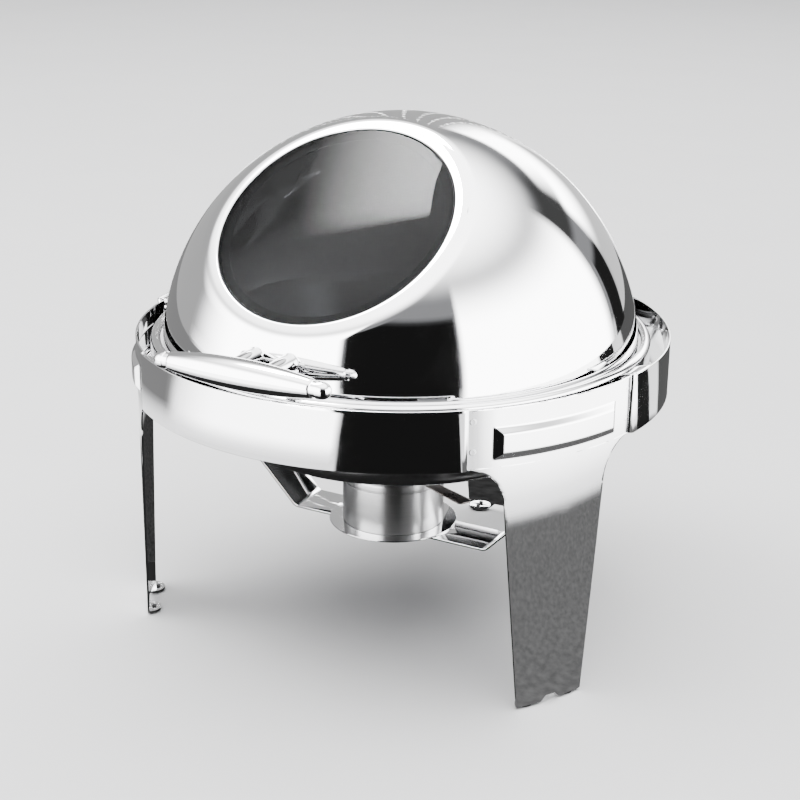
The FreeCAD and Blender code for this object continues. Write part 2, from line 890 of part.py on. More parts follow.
def damper_pivot_point():
    """The damper's rivet is on the far side of the opening from the handle."""
    angle = math.radians(dim("damper_azimuth").value)
    reach = dim("damper_pivot_reach")
    return dim("burner_offset") - reach * math.cos(angle), -reach * math.sin(angle)


def damper_pin_hole():
    x, y = damper_pivot_point()
    radius = dim("screw_radius") * 0.8 + dim("pin_clearance")
    return cylinder(radius, 4 * MARGIN, x=x, y=y, z=damper_top() - 2 * MARGIN)


def damper():
    """The sliding cover of the flame opening, with a flat handle that widens outwards."""
    base = damper_top() + dim("seat_gap")
    metal = dim("damper_sheet")
    width = dim("damper_handle_width")
    disc = cylinder(dim("damper_radius"), metal, z=base)
    lug = cylinder(width / 2, metal, x=-dim("damper_pivot_reach"), z=base)
    neck = box(dim("damper_pivot_reach"), width, metal, x=-dim("damper_pivot_reach"), y=-width / 2, z=base)
    bar = primitive(
        "Wedge",
        {
            "Xmin": -width / 4,
            "Xmax": width / 4,
            "X2min": -width / 2,
            "X2max": width / 2,
            "Ymin": 0.0,
            "Ymax": dim("damper_handle_reach"),
            "Zmin": 0.0,
            "Zmax": metal,
            "Z2min": 0.0,
            "Z2max": metal,
        },
        z=base,
        angle=-90.0,
    )
    whole = fuse(disc, lug, neck, bar)
    place(whole, x=dim("burner_offset"), angle=dim("damper_azimuth").value)
    piece("damper", cut(whole, damper_pin_hole()))


def damper_rivet():
    """The rivet that the damper swings on."""
    x, y = damper_pivot_point()
    radius = dim("screw_radius") * 0.8
    head = radius * 2
    low = damper_top() - dim("cup_sheet")
    high = damper_top() + dim("seat_gap") * 2 + dim("damper_sheet")
    outline = [
        (0, low - 1),
        (head, low - 1),
        (head, low),
        (radius, low),
        (radius, high),
        (head, high),
        (head * 0.7, high + 1),
        (0, high + 1),
    ]
    piece("damper_rivet", turned(outline, x=x, y=y))


# ---------------------------------------------------------------- rolling cover


def facet_cylinder(radius, start, length):
    """A cylinder on the window's axis, from a distance off the cover's centre outwards."""
    angle = math.radians(dim("facet_tilt").value)
    start = as_size(start)
    where = {
        "y": -start * math.sin(angle),
        "z": dim("pivot_height") + start * math.cos(angle),
        "axis": RIGHT,
        "angle": dim("facet_tilt").value,
    }
    return cylinder(radius, length, **where)


def facet_turned(outline):
    """A piece turned about the window's axis; its heights are distances from the cover's centre."""
    tilt = dim("facet_tilt").value
    return turned(outline, z=dim("pivot_height"), axis=RIGHT, angle=tilt)


def shelf_distance():
    """How far the shelf under the glass is from the cover's centre."""
    return dim("facet_distance") - dim("glass_thickness") - dim("seal_thickness")


def faceted_ball(inset):
    """The cover's ball with its flat facet and the recess for the glass, offset inwards by inset."""
    ball = sphere(dim("cover_radius") - inset, z=dim("pivot_height"))
    plane = facet_cylinder(dim("cover_radius"), dim("facet_distance") - inset, dim("cover_radius"))
    recess = facet_cylinder(dim("seal_outer_radius") + inset, shelf_distance() - inset, dim("cover_radius"))
    return cut(ball, plane, recess)


def post_point(side):
    return {"x": dim("post_offset") * side, "z": dim("handle_height"), "axis": RIGHT, "angle": 90.0}


def cover_shell():
    """The rolling cover: most of half a ball in thin sheet, with the window's facet, shelf and hole."""
    shell = cut(faceted_ball(as_size(0)), faceted_ball(dim("cover_sheet")))
    side = dim("cover_radius") * 2 + 2 * MARGIN
    below = box(
        side,
        side,
        dim("cover_radius"),
        x=-side / 2,
        y=-side / 2,
        z=dim("pivot_height") - dim("cover_skirt") - dim("cover_radius"),
    )
    window_hole = facet_cylinder(
        dim("seal_inner_radius"), shelf_distance() - MARGIN, dim("cover_radius") - shelf_distance()
    )
    tools = [below, window_hole]
    for side_sign in (-1, 1):
        tools.append(side_bore(dim("bush_body_radius") + dim("pin_clearance"), side_sign))
        screw_start = cover_depth_at_post() - MARGIN
        tools.append(cylinder(dim("screw_radius"), 3 * MARGIN, y=-screw_start, **post_point(side_sign)))
    piece("cover_shell", cut(shell, *tools))


def window():
    """The black seal on the shelf and the glass disc that lies in it."""
    shelf = shelf_distance()
    seat = shelf + dim("seal_thickness")
    face = dim("facet_distance")
    seal_outline = [
        (dim("seal_inner_radius"), shelf),
        (dim("seal_outer_radius"), shelf),
        (dim("seal_outer_radius"), face),
        (dim("glass_radius"), face),
        (dim("glass_radius"), seat),
        (dim("seal_inner_radius"), seat),
    ]
    piece("window_seal", facet_turned(seal_outline))
    glass = facet_cylinder(dim("glass_radius"), seat, dim("glass_thickness"))
    piece("window_glass", glass)


def handle_bar():
    """A spindle along X: thick in the middle, with rounded ends."""
    half = dim("handle_half_length")
    end, middle = dim("handle_end_radius"), dim("handle_middle_radius")
    rise = middle - end
    radius = (square(half) + square(rise)) / (rise * 2)
    tip = end * 0.6
    outline = [
        (0, -half - tip),
        (end - tip, -half - tip),
        (end, -half),
        (end, half),
        (end - tip, half + tip),
        (0, half + tip),
    ]
    bulges = {1: (tip, -1), 2: (radius, -1), 3: (tip, -1)}
    where = {"y": -dim("handle_reach"), "z": dim("handle_height")}
    return turned(outline, bulges, axis=FreeCAD.Vector(0, 1, 0), angle=90.0, **where)


def handle():
    """The handle, its two tapered posts and the screws that hold the posts from inside the cover."""
    bar = handle_bar()
    piece("handle", bar)
    screws = []
    for name, side in SIDES:
        screw = handle_screw(side)
        cone = primitive(
            "Cone",
            {
                "Radius1": dim("post_foot_radius"),
                "Radius2": dim("post_head_radius"),
                "Height": dim("handle_reach") - cover_depth_at_post(),
            },
            y=-cover_depth_at_post(),
            **post_point(side),
        )
        ball = sphere(dim("cover_radius"), z=dim("pivot_height"))
        piece(f"handle_post_{name}", cut(cone, ball, handle_bar(), handle_screw(side)))
        screws.append(screw)
    piece("handle_screws", compound(*screws))


def handle_screw(side):
    """A screw from inside the cover into a post."""
    reach = cover_depth_at_post()
    head_height = dim("screw_head_height")
    head_start = reach - head_height - dim("screw_seat_gap")
    head = cylinder(dim("screw_head_radius"), head_height, y=-head_start, **post_point(side))
    shank_start = head_start + dim("screw_seat_gap")
    shank = cylinder(dim("screw_radius"), dim("screw_shank_length"), y=-shank_start, **post_point(side))
    return fuse(head, shank)


def cover_depth_at_post():
    """How far forward the inside of the cover is where the posts stand."""
    inside = dim("cover_radius") - dim("cover_sheet")
    rise = dim("handle_height") - dim("pivot_height")
    return root(square(inside) - square(rise) - square(dim("post_offset")))


# ---------------------------------------------------------------- build, check and write


def build():
    for name, azimuth in BAND_AZIMUTHS:
        band(name, azimuth)
    for name, azimuth in LEG_AZIMUTHS:
        leg(name, azimuth)
        foot_pads(name, azimuth)
    inner_ring()
    for name, side in SIDES:
        pivot(name, side)
    burner_strap()
    pan_carrier()
    closed_stops()
    water_pan()
    food_pan()
    burner_plate()
    burner_rivets()
    fuel_cup()
    cup_cap()
    damper()
    damper_rivet()
    cover_shell()
    window()
    handle()
    doc.recompute()


def check():
    """Stop if any object failed or any sub-part is empty or not valid."""
    failed = [item for item in doc.Objects if {"Invalid", "Error"} & set(item.State)]
    for item in failed:
        users = [user.Label for user in item.InList]
        print(f"failed: {item.Name}, {item.getStatusString()}, used by {users}")
    if failed:
        raise RuntimeError("some objects failed")
    for item in pieces:
        shape = item.Shape
        if shape.isNull() or not shape.isValid() or not shape.Solids:
            raise RuntimeError(f"{item.Label} has no valid solid")


def write():
    os.makedirs("parts", exist_ok=True)
    for item in pieces:
        item.Shape.exportStep(f"parts/{item.Label}.step")
        solids = item.Shape.Solids
        print(f"{item.Label}: {len(solids)} solid(s), {item.Shape.Volume / 1000:.2f} cm3")


build()
check()
write()
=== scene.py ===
"""Looks of the roll top chafer, built around its CAD frame.

Lengths are metres in the frame's own axes: +Z is up and -Y is the front. Section lines are drawn in
millimetres and scaled by MM.
"""

import math

import bmesh
import bpy
from mathutils import Matrix, Vector


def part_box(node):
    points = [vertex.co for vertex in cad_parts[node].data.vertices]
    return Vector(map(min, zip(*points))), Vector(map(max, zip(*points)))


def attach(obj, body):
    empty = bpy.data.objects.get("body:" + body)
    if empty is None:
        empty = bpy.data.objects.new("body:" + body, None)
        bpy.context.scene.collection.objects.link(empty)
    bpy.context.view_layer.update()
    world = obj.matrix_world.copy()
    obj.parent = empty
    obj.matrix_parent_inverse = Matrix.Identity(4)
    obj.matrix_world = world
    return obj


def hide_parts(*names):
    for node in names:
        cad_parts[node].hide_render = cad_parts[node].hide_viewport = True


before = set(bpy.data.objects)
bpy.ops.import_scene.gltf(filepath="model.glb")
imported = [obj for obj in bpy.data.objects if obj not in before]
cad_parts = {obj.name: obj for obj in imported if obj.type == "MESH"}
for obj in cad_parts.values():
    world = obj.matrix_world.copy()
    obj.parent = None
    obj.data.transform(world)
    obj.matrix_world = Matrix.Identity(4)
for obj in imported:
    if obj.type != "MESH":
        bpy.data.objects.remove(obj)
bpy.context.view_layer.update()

MM = 0.001
SHARP = math.radians(34)
ROUND_STEPS = 7
STAND_TURN = 2.5  # degrees that the stand is turned under the cover; the studio and camera follow it


# ---------------------------------------------------------------- sizes, in millimetres, from the frame


def corner(node, end, axis):
    """One coordinate of a CAD node's box in millimetres; end is 0 for low and 1 for high."""
    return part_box(node)[end]["xyz".index(axis)] / MM


BAND_RADIUS = -corner("band_front", 0, "y")
BAND_BOTTOM = corner("band_front", 0, "z")
BAND_TOP = corner("band_front", 1, "z")
BAND_SHEET = 1.2
BAND_HALF_ANGLE = 39.0
BAND_END_TURN = 4.0
TAB_REACH = 9.0
TAB_INSET = 4.2
TAB_HALF_ANGLE = 3.5

RING_TOP = corner("inner_ring", 1, "z")
RING_OUTER = corner("inner_ring", 1, "x")
RING_BOTTOM = corner("inner_ring", 0, "z")
RING_BEAD = 4.2
RING_BEAD_HEIGHT = RING_TOP - RING_BEAD

PIVOT_HEIGHT = (corner("pivot_pin_left", 0, "z") + corner("pivot_pin_left", 1, "z")) / 2
COVER_RADIUS = corner("cover_shell", 1, "z") - PIVOT_HEIGHT
COVER_BOTTOM = corner("cover_shell", 0, "z")
COVER_SHEET = 1.0
FACET_TILT = math.radians(39)
FACET_DISTANCE = 171.5
FACET_BLEND = 20.0
GLASS_RADIUS = 97.6
GLASS_THICKNESS = 3.7
SEAL_INNER = 89.5
SEAL_OUTER = 98.6
SEAL_THICKNESS = 0.8
SHELF_DISTANCE = FACET_DISTANCE - GLASS_THICKNESS - SEAL_THICKNESS

LEG_RADIUS = 226.0
LEG_SHEET = 1.5
LEG_TOP = 258.0
LEG_BOTTOM = 2.0
LEG_HALF_WIDTHS = {"top": 82.0, "neck": 48.0, "foot": 32.0}
LEG_NECK_HEIGHT = 178.0
LEG_FLARE = 33.0
ARCH_HALF_WIDTH = 9.0
ARCH_SLOPE = 4.5
ARCH_RISE = 4.5
ARCH_FADE = 28.0
FOOT_TAB_RADIUS = 11.0
FOOT_TAB_OFFSET = 20.5
WELD_OFFSET = 74
WELD_HEIGHTS = (225, 249)
EMBOSS = {"half_width": 58.5, "low": 217.5, "high": 243.5, "rise": 4.2, "slope": 5.8}
LEG_AZIMUTHS = {"front_right": STAND_TURN + 60, "front_left": STAND_TURN - 60, "rear": STAND_TURN + 180}
BAND_AZIMUTHS = {"front": STAND_TURN, "right": STAND_TURN + 120, "left": STAND_TURN - 120}

HANDLE_REACH = 240.0
HANDLE_HEIGHT = 281.0
HANDLE_HALF = corner("handle", 1, "x")
HANDLE_MIDDLE = 12.2
HANDLE_END = 5.2
GROOVE_PLACE = 66.0
GROOVE_HALF = 2.4
GROOVE_DEPTH = 0.6
POST_OFFSET = 15.5
POST_FOOT = 7.2
POST_HEAD = 5.7
POST_FLANGE = 7.6

BURNER_X = (corner("fuel_cup", 0, "x") + corner("fuel_cup", 1, "x")) / 2
CUP_RADIUS = (corner("fuel_cup", 1, "x") - corner("fuel_cup", 0, "x")) / 2
CUP_BOTTOM = corner("fuel_cup", 0, "z")
CUP_TOP = corner("fuel_cup", 1, "z")
CAP_TOP = corner("cup_cap", 1, "z")
PLATE_BASE = corner("burner_plate", 0, "z")
PLATE_RADIUS = (corner("burner_plate", 1, "x") - corner("burner_plate", 0, "x")) / 2


# ---------------------------------------------------------------- lines and meshes


def rounded(corners):
    """A plane line through corners (x, y) or (x, y, radius); corners with a radius are rounded off."""
    line = []
    for index, (x, y, *radius) in enumerate(corners):
        here = Vector((x, y))
        if not radius:
            line.append(here)
            continue
        before = (Vector(corners[index - 1][:2]) - here).normalized()
        after = (Vector(corners[(index + 1) % len(corners)][:2]) - here).normalized()
        half = before.angle(after) / 2
        reach = radius[0] / math.tan(half)
        centre = here + (before + after).normalized() * radius[0] / math.sin(half)
        first = here + before * reach - centre
        last = here + after * reach - centre
        turn = math.atan2(first.cross(last), first.dot(last))
        for step in range(ROUND_STEPS + 1):
            line.append(centre + Matrix.Rotation(turn * step / ROUND_STEPS, 2) @ first)
    return line


def arc(centre, radius, start, end, steps):
    """Points on a plane arc, angles in degrees."""
    angles = [math.radians(start + (end - start) * step / steps) for step in range(steps + 1)]
    return [Vector((centre[0] + radius * math.cos(a), centre[1] + radius * math.sin(a))) for a in angles]


def offset(line, distance):
    """The line moved to its left by a distance, with its corners kept mitred."""
    moved = []
    for index, point in enumerate(line):
        normals = []
        for first, second in ((index - 1, index), (index, index + 1)):
            if first >= 0 and second < len(line):
                along = (line[second] - line[first]).normalized()
                normals.append(Vector((-along.y, along.x)))
        middle = sum(normals, Vector((0, 0))).normalized()
        moved.append(point + middle * distance / max(middle.dot(normals[0]), 0.3))
    return moved


def sheet_section(line, thickness, open_ends=(True, True)):
    """The closed outline of a sheet along a line, with half-round edges at its open ends."""
    left = offset(line, thickness / 2)
    right = offset(line, -thickness / 2)
    ends = []
    for index, is_open in zip((0, -1), open_ends):
        if not is_open:
            ends.append([])
            continue
        arm = right[0] - line[0] if index == 0 else left[-1] - line[-1]
        turns = [Matrix.Rotation(-math.pi * step / 6, 2) @ arm for step in range(1, 6)]
        ends.append([line[index] + turn for turn in turns])
    return left + ends[1] + list(reversed(right)) + ends[0]


def smooth_step(value):
    """A soft rise from 0 to 1."""
    value = min(max(value, 0.0), 1.0)
    return value * value * (3 - 2 * value)


class Shape:
    """Points and faces in millimetres, gathered from several surfaces."""

    def __init__(self):
        self.points = []
        self.faces = []

    def surface(self, rows, wrap_rows=False, wrap_columns=False):
        """A grid of quads over rows of points."""
        base, width, count = len(self.points), len(rows[0]), len(rows)
        for row in rows:
            self.points.extend(row)
        for r in range(count if wrap_rows else count - 1):
            for c in range(width if wrap_columns else width - 1):
                next_r, next_c = (r + 1) % count, (c + 1) % width
                cell = ((r, c), (r, next_c), (next_r, next_c), (next_r, c))
                self.faces.append([base + row * width + column for row, column in cell])
        return self

    def revolve(self, outline, steps=96, closed=True):
        """A plane outline of (radius, height) turned about the Z axis."""
        rings = []
        for radius, height in outline:
            turns = [2 * math.pi * step / steps for step in range(steps)]
            rings.append([Vector((radius * math.cos(t), radius * math.sin(t), height)) for t in turns])
        return self.surface(rings, wrap_rows=closed, wrap_columns=True)

    def ribbon(self, line, thickness, depths, place):
        """A sheet along a plane line, drawn out over depths; place gives each point's position."""
        sides = [offset(line, thickness / 2), offset(line, -thickness / 2)]
        left, right = [[[place(p.x, p.y, d) for d in depths] for p in side] for side in sides]
        self.surface(left)
        self.surface([list(reversed(row)) for row in right])
        self.surface([[a[0], b[0]] for a, b in zip(left, right)])
        self.surface([[b[-1], a[-1]] for a, b in zip(left, right)])
        self.surface([left[0], right[0]])
        self.surface([right[-1], left[-1]])
        return self

    def slab(self, outline, low, high):
        """A flat plate between two heights, over a plane outline."""
        base, count = len(self.points), len(outline)
        self.points.extend(Vector((p[0], p[1], low)) for p in outline)
        self.points.extend(Vector((p[0], p[1], high)) for p in outline)
        self.faces.append([base + i for i in reversed(range(count))])
        self.faces.append([base + count + i for i in range(count)])
        for i in range(count):
            j = (i + 1) % count
            self.faces.append([base + i, base + j, base + count + j, base + count + i])
        return self

    def moved(self, matrix):
        """The shape with every point put through a matrix."""
        self.points = [matrix @ Vector(point) for point in self.points]
        return self


def make(name, shape, material, body, nodes=(), bevel=0.0, bevel_angle=50, sharp=SHARP):
    """One finished piece from a shape; bevel is the rounding of its edges in millimetres."""
    mesh = bpy.data.meshes.new(name)
    mesh.from_pydata([Vector(point) * MM for point in shape.points], [], shape.faces)
    work = bmesh.new()
    work.from_mesh(mesh)
    bmesh.ops.remove_doubles(work, verts=work.verts, dist=0.004 * MM)
    bmesh.ops.dissolve_degenerate(work, edges=work.edges, dist=0.002 * MM)
    bmesh.ops.recalc_face_normals(work, faces=work.faces)
    if bevel:
        limit = math.radians(bevel_angle)
        edges = [e for e in work.edges if len(e.link_faces) == 2 and e.calc_face_angle(0) > limit]
        bmesh.ops.bevel(
            work, geom=edges, offset=bevel * MM, segments=3, profile=0.5, affect="EDGES", clamp_overlap=True
        )
    for face in work.faces:
        face.smooth = True
    work.to_mesh(mesh)
    work.free()
    mesh.set_sharp_from_angle(angle=sharp)
    mesh.materials.append(material)
    piece = bpy.data.objects.new(name, mesh)
    bpy.context.scene.collection.objects.link(piece)
    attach(piece, body)
    if nodes:
        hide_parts(*nodes)
    return piece


def turned_about_z(angle):
    """A turn about the Z axis, in degrees."""
    return Matrix.Rotation(math.radians(angle), 4, "Z")


def on_cylinder(x, z, radius):
    """A point on an upright cylinder round the origin, above the place x on its front."""
    return Vector((x, -math.sqrt(radius * radius - x * x), z))


# ---------------------------------------------------------------- materials


class Nodes:
    """A new material and a short way to add nodes to it."""

    def __init__(self, name):
        self.material = bpy.data.materials.new(name)
        self.material.use_nodes = True
        self.tree = self.material.node_tree

    def add(self, kind, inputs=None, **settings):
        """A new node; inputs maps a socket's name or number to a value or to an output to link."""
        node = self.tree.nodes.new(kind)
        for name, value in settings.items():
            setattr(node, name, value)
        for socket, value in (inputs or {}).items():
            if isinstance(value, bpy.types.NodeSocket):
                self.tree.links.new(value, node.inputs[socket])
            else:
                node.inputs[socket].default_value = value
        return node


class Finish(Nodes):
    """A Principled material, with the patterns that the finishes share."""

    def __init__(self, name, **settings):
        super().__init__(name)
        self.shader = self.tree.nodes["Principled BSDF"]
        self.place = self.add("ShaderNodeTexCoord").outputs["Object"]
        for socket, value in settings.items():
            self.shader.inputs[socket.replace("_", " ")].default_value = value

    def noise(self, scale, detail=3.0, stretch=(1, 1, 1), roughness=0.55):
        """A noise pattern in the piece's own axes, stretched along each."""
        mapping = self.add("ShaderNodeMapping", {"Vector": self.place, "Scale": stretch})
        inputs = {"Vector": mapping.outputs[0], "Scale": scale, "Detail": detail, "Roughness": roughness}
        return self.add("ShaderNodeTexNoise", inputs).outputs["Fac"]

    def spread(self, value, low, high, start=0.0, end=1.0):
        """A value from start to end mapped onto low to high."""
        inputs = {"Value": value, "From Min": start, "From Max": end, "To Min": low, "To Max": high}
        return self.add("ShaderNodeMapRange", inputs).outputs["Result"]

    def mixed(self, factor, first, second):
        """A colour between two by a factor."""
        mix = self.add("ShaderNodeMix", data_type="RGBA")
        self.tree.links.new(factor, mix.inputs["Factor"])
        for socket, colour in (("A", first), ("B", second)):
            next(i for i in mix.inputs if i.name == socket and i.type == "RGBA").default_value = (*colour, 1)
        return next(o for o in mix.outputs if o.type == "RGBA")

    def bump(self, height, distance, under=None):
        """The normal over a height pattern; distance is in metres."""
        inputs = {"Height": height, "Distance": distance}
        if under is not None:
            inputs["Normal"] = under
        return self.add("ShaderNodeBump", inputs).outputs["Normal"]

    def link(self, output, socket):
        """Feed one of the shader's sockets."""
        self.tree.links.new(output, self.shader.inputs[socket])

    def total(self, first, second):
        """The sum of two patterns."""
        return self.add("ShaderNodeMath", {0: first, 1: second}, operation="ADD").outputs[0]


def toned(colour, tone):
    """A colour scaled by one factor."""
    return tuple(tone * part for part in colour)


def mirror_steel(name, stretch, tone=1.0, smudge=0.05):
    """Polished stainless sheet: slight waviness from pressing, fine polishing lines and faint smudges."""
    finish = Finish(name, Metallic=1.0)
    cloudy = finish.noise(9.0, detail=4.0)
    dark, light = toned((0.74, 0.74, 0.75), tone), toned((0.84, 0.84, 0.845), tone)
    finish.link(finish.mixed(cloudy, dark, light), "Base Color")
    lines = finish.noise(700.0, detail=2.0, stretch=stretch)
    smudges = finish.spread(finish.noise(24.0, detail=6.0, roughness=0.7), 0.0, smudge, 0.52, 0.75)
    finish.link(finish.total(finish.spread(lines, 0.022, 0.052), smudges), "Roughness")
    waves = finish.bump(finish.noise(11.0, detail=1.0), 0.00006)
    finish.link(finish.bump(lines, 0.0000012, under=waves), "Normal")
    return finish.material


def pan_steel(name, tone):
    """Drawn pan sheet: softly bright, with round drawing marks."""
    finish = Finish(name, Metallic=1.0)
    cloudy = finish.noise(16.0, detail=5.0)
    dark, light = toned((0.55, 0.55, 0.56), tone), toned((0.7, 0.7, 0.7), tone)
    finish.link(finish.mixed(cloudy, dark, light), "Base Color")
    marks = finish.noise(420.0, detail=2.0, stretch=(0.15, 0.15, 1.6))
    finish.link(finish.spread(marks, 0.16, 0.26), "Roughness")
    finish.link(finish.bump(marks, 0.000001), "Normal")
    return finish.material


def satin_steel(name):
    """Brushed stainless steel with lines round the upright axis."""
    finish = Finish(name, Metallic=1.0, Anisotropic=0.85, Anisotropic_Rotation=0.25)
    lines = finish.noise(900.0, detail=3.0, stretch=(0.02, 0.02, 1.0))
    finish.link(finish.mixed(lines, (0.50, 0.50, 0.51), (0.58, 0.58, 0.58)), "Base Color")
    patches = finish.spread(finish.noise(12.0, detail=3.0), -0.01, 0.02)
    finish.link(finish.total(finish.spread(lines, 0.30, 0.38), patches), "Roughness")
    finish.link(finish.bump(lines, 0.000001), "Normal")
    tangent = finish.add("ShaderNodeTangent", direction_type="RADIAL", axis="Z")
    finish.link(tangent.outputs[0], "Tangent")
    return finish.material


def dark_steel(name):
    """Steel browned and blued by the flame."""
    finish = Finish(name, Metallic=1.0)
    heat = finish.noise(38.0, detail=5.0)
    finish.link(finish.mixed(heat, (0.10, 0.09, 0.085), (0.24, 0.22, 0.21)), "Base Color")
    grain = finish.noise(600.0, detail=3.0)
    finish.link(finish.total(finish.spread(heat, 0.18, 0.34), finish.spread(grain, 0.0, 0.06)), "Roughness")
    finish.link(finish.bump(grain, 0.00001), "Normal")
    return finish.material


def soft_black(name, low, high, shine):
    """Matt black rubber with a fine moulded grain."""
    finish = Finish(name, Specular_IOR_Level=shine)
    grain = finish.noise(1400.0, detail=4.0)
    finish.link(finish.mixed(finish.noise(60.0), (0.005, 0.005, 0.006), (0.012, 0.012, 0.013)), "Base Color")
    finish.link(finish.spread(grain, low, high), "Roughness")
    finish.link(finish.bump(grain, 0.00002), "Normal")
    return finish.material


def nylon(name):
    """Natural nylon of the pivot washers."""
    finish = Finish(name, Subsurface_Weight=0.15)
    finish.shader.inputs["Subsurface Radius"].default_value = (0.002, 0.0018, 0.0014)
    cloudy = finish.noise(90.0, detail=4.0)
    finish.link(finish.mixed(cloudy, (0.74, 0.72, 0.67), (0.86, 0.85, 0.81)), "Base Color")
    finish.link(finish.spread(cloudy, 0.38, 0.52), "Roughness")
    finish.link(finish.bump(finish.noise(900.0), 0.00001), "Normal")
    return finish.material


def smoked_glass(name):
    """Toughened glass with a grey tint, slightly wavy and faintly smudged."""
    finish = Finish(name, Transmission_Weight=1.0, IOR=1.12)
    cloudy = finish.noise(14.0, detail=3.0)
    finish.link(finish.mixed(cloudy, (0.17, 0.175, 0.18), (0.21, 0.215, 0.22)), "Base Color")
    finish.link(finish.spread(finish.noise(20.0, detail=6.0), 0.0, 0.03, 0.5, 0.8), "Roughness")
    finish.link(finish.bump(finish.noise(6.0, detail=1.0), 0.00004), "Normal")
    return finish.material


STEEL_SHEET = mirror_steel("polished_sheet", (0.05, 0.05, 1.0))
STEEL_COVER = mirror_steel("polished_cover", (0.5, 0.5, 0.5))
STEEL_HANDLE = mirror_steel("polished_handle", (1.0, 0.1, 0.1), smudge=0.08)
STEEL_PART = mirror_steel("polished_hardware", (0.3, 0.3, 1.0), tone=0.95)
PAN_INSIDE = pan_steel("drawn_food_pan", 1.0)
# The water pan's copy of the pan steel is darkened to tone 0.62: painted shade for its underside, which sits
# under the cover and the food pan.
PAN_SHADED = pan_steel("drawn_water_pan_painted_shade", 0.62)
SATIN = satin_steel("satin_cup")
DARK = dark_steel("heat_dark_damper")
RUBBER = soft_black("black_rubber", 0.55, 0.75, shine=0.4)
SEAL_BLACK = soft_black("black_window_border", 0.42, 0.55, shine=0.06)
NYLON = nylon("natural_nylon")
GLASS = smoked_glass("smoked_glass")


# ---------------------------------------------------------------- bands


def band_line():
    """The middle of the band's sheet seen from above, with both ends turned in."""
    middle = BAND_RADIUS - BAND_SHEET / 2
    turn = BAND_END_TURN - BAND_SHEET / 2
    reach = BAND_RADIUS - BAND_END_TURN
    first, last = -90 - BAND_HALF_ANGLE, -90 + BAND_HALF_ANGLE
    ends = [(reach * math.cos(math.radians(a)), reach * math.sin(math.radians(a))) for a in (first, last)]
    line = arc(ends[0], turn, first - 90, first, 8)
    line += arc((0, 0), middle, first, last, 72)[1:-1]
    line += arc(ends[1], turn, last, last + 90, 8)
    return line


def band(name, azimuth):
    """A band with rounded edges and two tabs that slope from its upper edge down to the ring's bead."""
    shape = Shape()
    shape.ribbon(band_line(), BAND_SHEET, [BAND_BOTTOM, BAND_TOP], lambda x, y, z: Vector((x, y, z)))
    inside = BAND_RADIUS - 1.5 * BAND_SHEET
    tab_top, tab_end = BAND_TOP - BAND_SHEET, RING_BEAD_HEIGHT + BAND_SHEET
    section = rounded([(inside, BAND_TOP - TAB_REACH), (inside, tab_top, 1.6), (RING_OUTER + 0.3, tab_end)])
    for side in (-1, 1):
        middle = -90 + side * (BAND_HALF_ANGLE - TAB_INSET)
        spread = [math.radians(middle - TAB_HALF_ANGLE + step) for step in range(int(2 * TAB_HALF_ANGLE) + 1)]
        shape.ribbon(
            section, BAND_SHEET, spread, lambda r, z, a: Vector((r * math.cos(a), r * math.sin(a), z))
        )
    shape.moved(turned_about_z(azimuth))
    make(f"band_{name}_sheet", shape, STEEL_SHEET, "stand", [f"band_{name}"], bevel=0.4)


# ---------------------------------------------------------------- legs


def soft_ramp(value, bend=0.16):
    """A straight rise from 0 to 1 with a short bend at each end."""
    value = min(max(value, 0.0), 1.0)
    from_end = min(value, 1 - value)
    rise = from_end**2 / (2 * bend) if from_end < bend else from_end - bend / 2
    return (rise if value < 0.5 else 1 - bend - rise) / (1 - bend)


def emboss_height(x, z):
    """How far the pressed panel stands out at a place on the leg."""
    inward = min(EMBOSS["half_width"] - abs(x), z - EMBOSS["low"], EMBOSS["high"] - z)
    return EMBOSS["rise"] * soft_ramp(inward / EMBOSS["slope"])


def leg_rows():
    """Heights down the leg with the half width at each."""
    top, neck, foot = LEG_HALF_WIDTHS.values()
    flare_top = LEG_NECK_HEIGHT + LEG_FLARE
    upper_steps, flare_steps, lower_steps = 56, 24, 60
    upper = [LEG_TOP - (LEG_TOP - flare_top) * step / upper_steps for step in range(upper_steps + 1)]
    rows = [(z, top) for z in upper]
    for step in range(flare_steps + 1):
        turn = math.radians(90 - 90 * step / flare_steps)
        flare = neck + LEG_FLARE * (1 - math.cos(turn))
        rows.append((LEG_NECK_HEIGHT + LEG_FLARE * math.sin(turn), flare))
    for step in range(1, lower_steps + 1):
        part = step / lower_steps
        rows.append((LEG_NECK_HEIGHT + (LEG_BOTTOM - LEG_NECK_HEIGHT) * part, neck + (foot - neck) * part))
    return rows


def leg_columns():
    """Shares of the half width across the leg, dense where the panel slopes and at the foot arch."""
    top = LEG_HALF_WIDTHS["top"]
    fine = [EMBOSS["half_width"] - EMBOSS["slope"] * step / 7 for step in range(-1, 9)]
    coarse = [4 * step for step in range(14)] + [66, 70, 74, 78, top]
    arch_edges = (ARCH_HALF_WIDTH - ARCH_SLOPE, ARCH_HALF_WIDTH)
    arch = [top * x / LEG_HALF_WIDTHS["foot"] for x in arch_edges]
    half = sorted({round(x, 3) for x in fine + coarse + arch})
    return [x / top for x in [-x for x in reversed(half) if x > 0] + half]


def arch_rise(x, z):
    """How far the low arch between the two foot tabs lifts a place on the leg."""
    rise = ARCH_RISE * min(max((ARCH_HALF_WIDTH - abs(x)) / ARCH_SLOPE, 0.0), 1.0)
    return rise * smooth_step((ARCH_FADE + LEG_BOTTOM - z) / ARCH_FADE)


